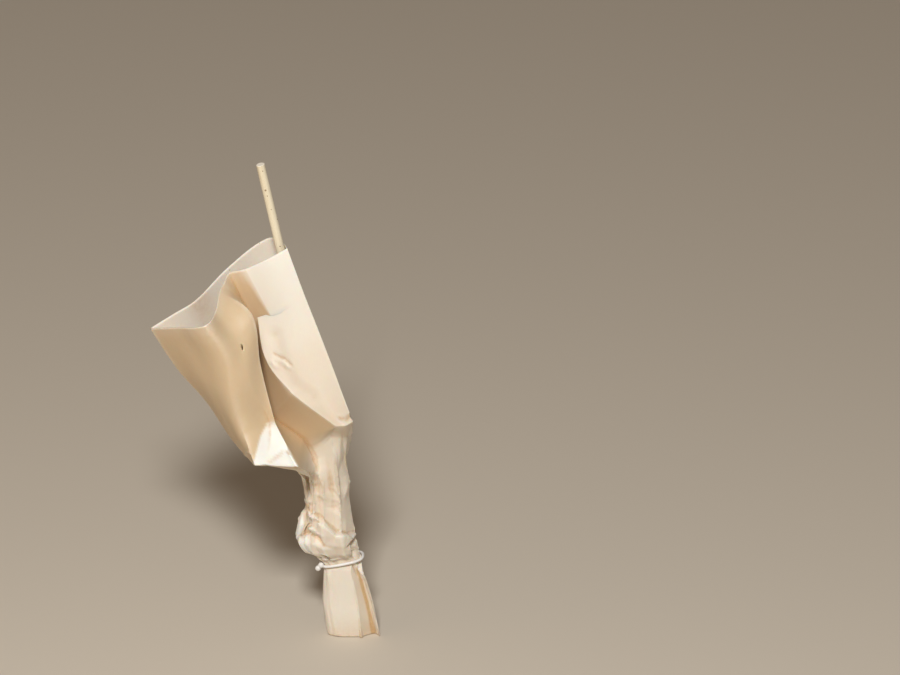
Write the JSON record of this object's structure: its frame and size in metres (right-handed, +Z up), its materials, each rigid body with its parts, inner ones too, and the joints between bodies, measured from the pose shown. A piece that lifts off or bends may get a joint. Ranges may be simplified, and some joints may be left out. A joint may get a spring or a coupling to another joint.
{
  "type": "sleeved young grapevine",
  "caption": "Young grapevine as planted: a straight bare cane leaning out of a crumpled board sleeve, gathered and tied with coated wire above the ground.",
  "frame": {"origin": "middle of the cane's flat cut at ground level", "axes": "+Z up, the cane leans towards -X, -Y faces the viewer of the picture"},
  "size_m": [0.176, 0.106, 0.3991],
  "materials": {
    "cane": "pale dry wood with fine lengthwise grain, dull",
    "board": "pale peach coated board, smooth with a soft dull sheen, creased and crumpled",
    "tie": "white coated wire, slightly glossy"
  },
  "bodies": {
    "root": {"cane": "cane", "sleeve": "board", "tie": "tie"}
  },
  "joints": []
}
